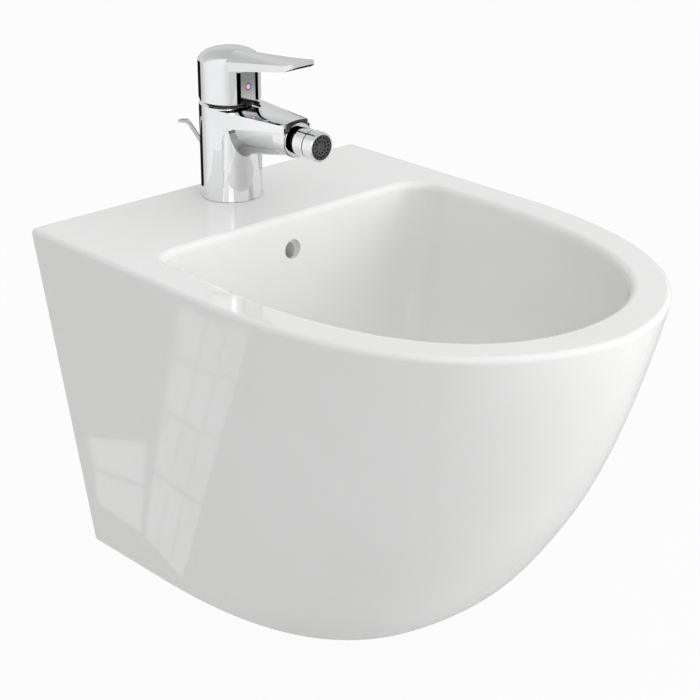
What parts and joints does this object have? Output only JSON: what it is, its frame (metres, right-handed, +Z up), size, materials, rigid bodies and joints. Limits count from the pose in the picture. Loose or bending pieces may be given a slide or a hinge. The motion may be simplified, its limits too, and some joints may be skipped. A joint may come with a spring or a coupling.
{
  "type": "wall-hung bidet",
  "caption": "Wall-hung ceramic bidet with an oval bowl, a single-lever chrome mixer with a swivelling nozzle, and a pop-up waste worked by a lift rod.",
  "frame": {"origin": "on the wall plane, midway between the two wall fixing holes", "axes": "+Z up, -Y out of the wall towards the user, +X to the right seen from the front"},
  "size_m": [0.3588, 0.4797, 0.4426],
  "materials": {
    "vitreous_china": "glossy white glaze",
    "chrome": "polished chrome plate",
    "brass": "machined brass",
    "steel": "zinc plated steel",
    "seal_rubber": "matt black rubber",
    "white_nylon": "moulded nylon",
    "cartridge_plastic": "moulded plastic",
    "aerator_plastic": "moulded plastic",
    "index_plastic": "glossy two-colour plug",
    "disc_ceramic": "lapped ceramic"
  },
  "bodies": {
    "fixed": {"ceramic_body": "vitreous_china", "fixing_sleeve_left": "white_nylon", "fixing_sleeve_right": "white_nylon", "mixer_body": "chrome", "base_seal": "seal_rubber", "fixing_stud": "steel", "horseshoe_gasket": "seal_rubber", "horseshoe_washer": "steel", "fixing_nut": "steel", "cartridge_base": "cartridge_plastic", "cartridge_seal_left": "seal_rubber", "cartridge_seal_right": "seal_rubber", "fixed_disc": "disc_ceramic", "cartridge_housing": "cartridge_plastic", "cartridge_nut": "chrome", "trim_ring": "chrome", "ball_nut": "chrome", "waste_flange": "chrome", "flange_gasket": "seal_rubber", "under_gasket": "seal_rubber", "waste_locknut": "brass", "waste_body": "chrome", "tail_pipe": "chrome", "pivot_seat": "white_nylon", "pivot_nut": "chrome"},
    "carrier": {"cartridge_carrier": "cartridge_plastic", "stem_pin": "steel"},
    "lever": {"lever_handle": "chrome", "cartridge_stem": "brass", "lever_grub_screw": "steel", "index_plug": "index_plastic"},
    "disc": {"moving_disc": "disc_ceramic"},
    "ball_ring": {"ball_seat": "white_nylon", "ball_oring": "seal_rubber"},
    "nozzle": {"swivel_ball": "chrome", "aerator_housing": "chrome", "aerator_washer": "seal_rubber", "aerator_insert": "aerator_plastic"},
    "lift": {"lift_rod": "chrome", "rod_clamp": "brass", "clamp_screw": "steel", "link_strap": "steel"},
    "pivot": {"pivot_rod": "steel"},
    "plug": {"waste_plug": "chrome", "plug_seal": "seal_rubber"}
  },
  "joints": [
    {"name": "lever_swing", "type": "hinge", "parent": "fixed", "child": "carrier", "pos_m": [0, -0.04, 0.145], "axis": [0, 0, 1], "range_deg": [-50, 50]},
    {"name": "lever_lift", "type": "hinge", "parent": "carrier", "child": "lever", "pos_m": [0, -0.04, 0.145], "axis": [-1, 0, 0], "range_deg": [0, 18]},
    {"name": "disc_slide", "type": "slide", "parent": "carrier", "child": "disc", "axis": [0, -1, 0], "range_m": [0, 0.0029]},
    {"name": "nozzle_spin", "type": "hinge", "parent": "fixed", "child": "ball_ring", "pos_m": [0, -0.122, 0.142], "axis": [0, -1, 0], "continuous": true},
    {"name": "nozzle_tilt", "type": "hinge", "parent": "ball_ring", "child": "nozzle", "pos_m": [0, -0.122, 0.142], "axis": [1, 0, 0], "range_deg": [-15, 15]},
    {"name": "rod_lift", "type": "slide", "parent": "fixed", "child": "lift", "axis": [0, 0, 1], "range_m": [0, 0.016]},
    {"name": "pivot_rock", "type": "hinge", "parent": "fixed", "child": "pivot", "pos_m": [0, -0.149, -0.152], "axis": [1, 0, 0], "range_deg": [0, 8]},
    {"name": "plug_drop", "type": "slide", "parent": "fixed", "child": "plug", "axis": [0, 0, -1], "range_m": [0, 0.0064]}
  ],
  "couplings": [
    {"joint": "disc_slide", "follows": "lever_lift", "m_per_rad": 0.009},
    {"joint": "pivot_rock", "follows": "rod_lift", "rad_per_m": 8.5179},
    {"joint": "plug_drop", "follows": "rod_lift", "ratio": 0.39182}
  ]
}
